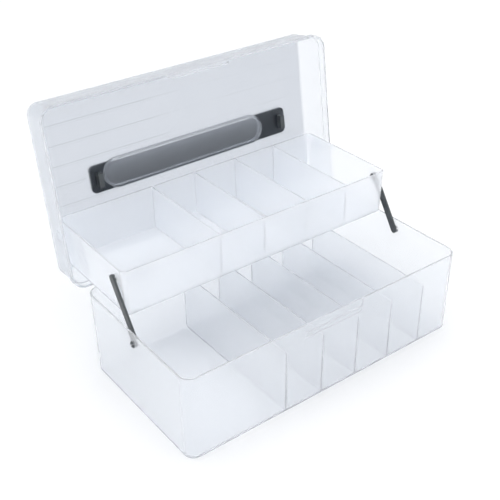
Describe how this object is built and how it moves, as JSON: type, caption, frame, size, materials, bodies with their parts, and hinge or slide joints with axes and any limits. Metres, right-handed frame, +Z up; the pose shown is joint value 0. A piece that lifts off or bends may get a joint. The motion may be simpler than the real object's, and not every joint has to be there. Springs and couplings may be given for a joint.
{
  "type": "parts organizer",
  "caption": "Translucent two-tier organizer box: divided base, cantilever tray on link arms, and a hinged lid with a carrying handle.",
  "frame": {"origin": "middle of the underside of the base, on the surface that the box stands on", "axes": "+X to the right along the front, +Y from the front to the hinged back, +Z up; drawn open"},
  "size_m": [0.335, 0.2566, 0.266],
  "materials": {
    "frosted_base": "frosted translucent polypropylene, satin outside",
    "frosted_lid": "frosted translucent polypropylene, satin outside",
    "frosted_tray": "frosted translucent polypropylene, satin outside",
    "grey_plastic": "fine satin moulded plastic, dark grey"
  },
  "bodies": {
    "base": {"base": "frosted_base", "hinge_pin_left": "grey_plastic", "hinge_pin_right": "grey_plastic"},
    "lid": {"lid": "frosted_lid"},
    "tray": {"tray": "frosted_tray"},
    "arm_left": {"arm_left": "grey_plastic"},
    "arm_right": {"arm_right": "grey_plastic"},
    "handle": {"handle": "grey_plastic"}
  },
  "joints": [
    {"name": "lid_hinge", "type": "hinge", "parent": "base", "child": "lid", "pos_m": [0, 0.097, 0.08], "axis": [1, 0, 0], "range_deg": [0, 98]},
    {"name": "tray_pivot", "type": "hinge", "parent": "lid", "child": "tray", "pos_m": [0, 0.13077, 0.132], "axis": [1, 0, 0], "range_deg": [-98, 0]},
    {"name": "arm_left_pivot", "type": "hinge", "parent": "base", "child": "arm_left", "pos_m": [-0.163, -0.00011, 0.08], "axis": [1, 0, 0], "range_deg": [0, 98]},
    {"name": "arm_right_pivot", "type": "hinge", "parent": "base", "child": "arm_right", "pos_m": [0.163, -0.00011, 0.08], "axis": [1, 0, 0], "range_deg": [0, 98]},
    {"name": "handle_lift", "type": "slide", "parent": "lid", "child": "handle", "axis": [0, 0.9903, -0.1392], "range_m": [0, 0.004]}
  ],
  "couplings": [
    {"joint": "tray_pivot", "follows": "lid_hinge", "ratio": -1},
    {"joint": "arm_left_pivot", "follows": "lid_hinge", "ratio": 1},
    {"joint": "arm_right_pivot", "follows": "lid_hinge", "ratio": 1}
  ]
}
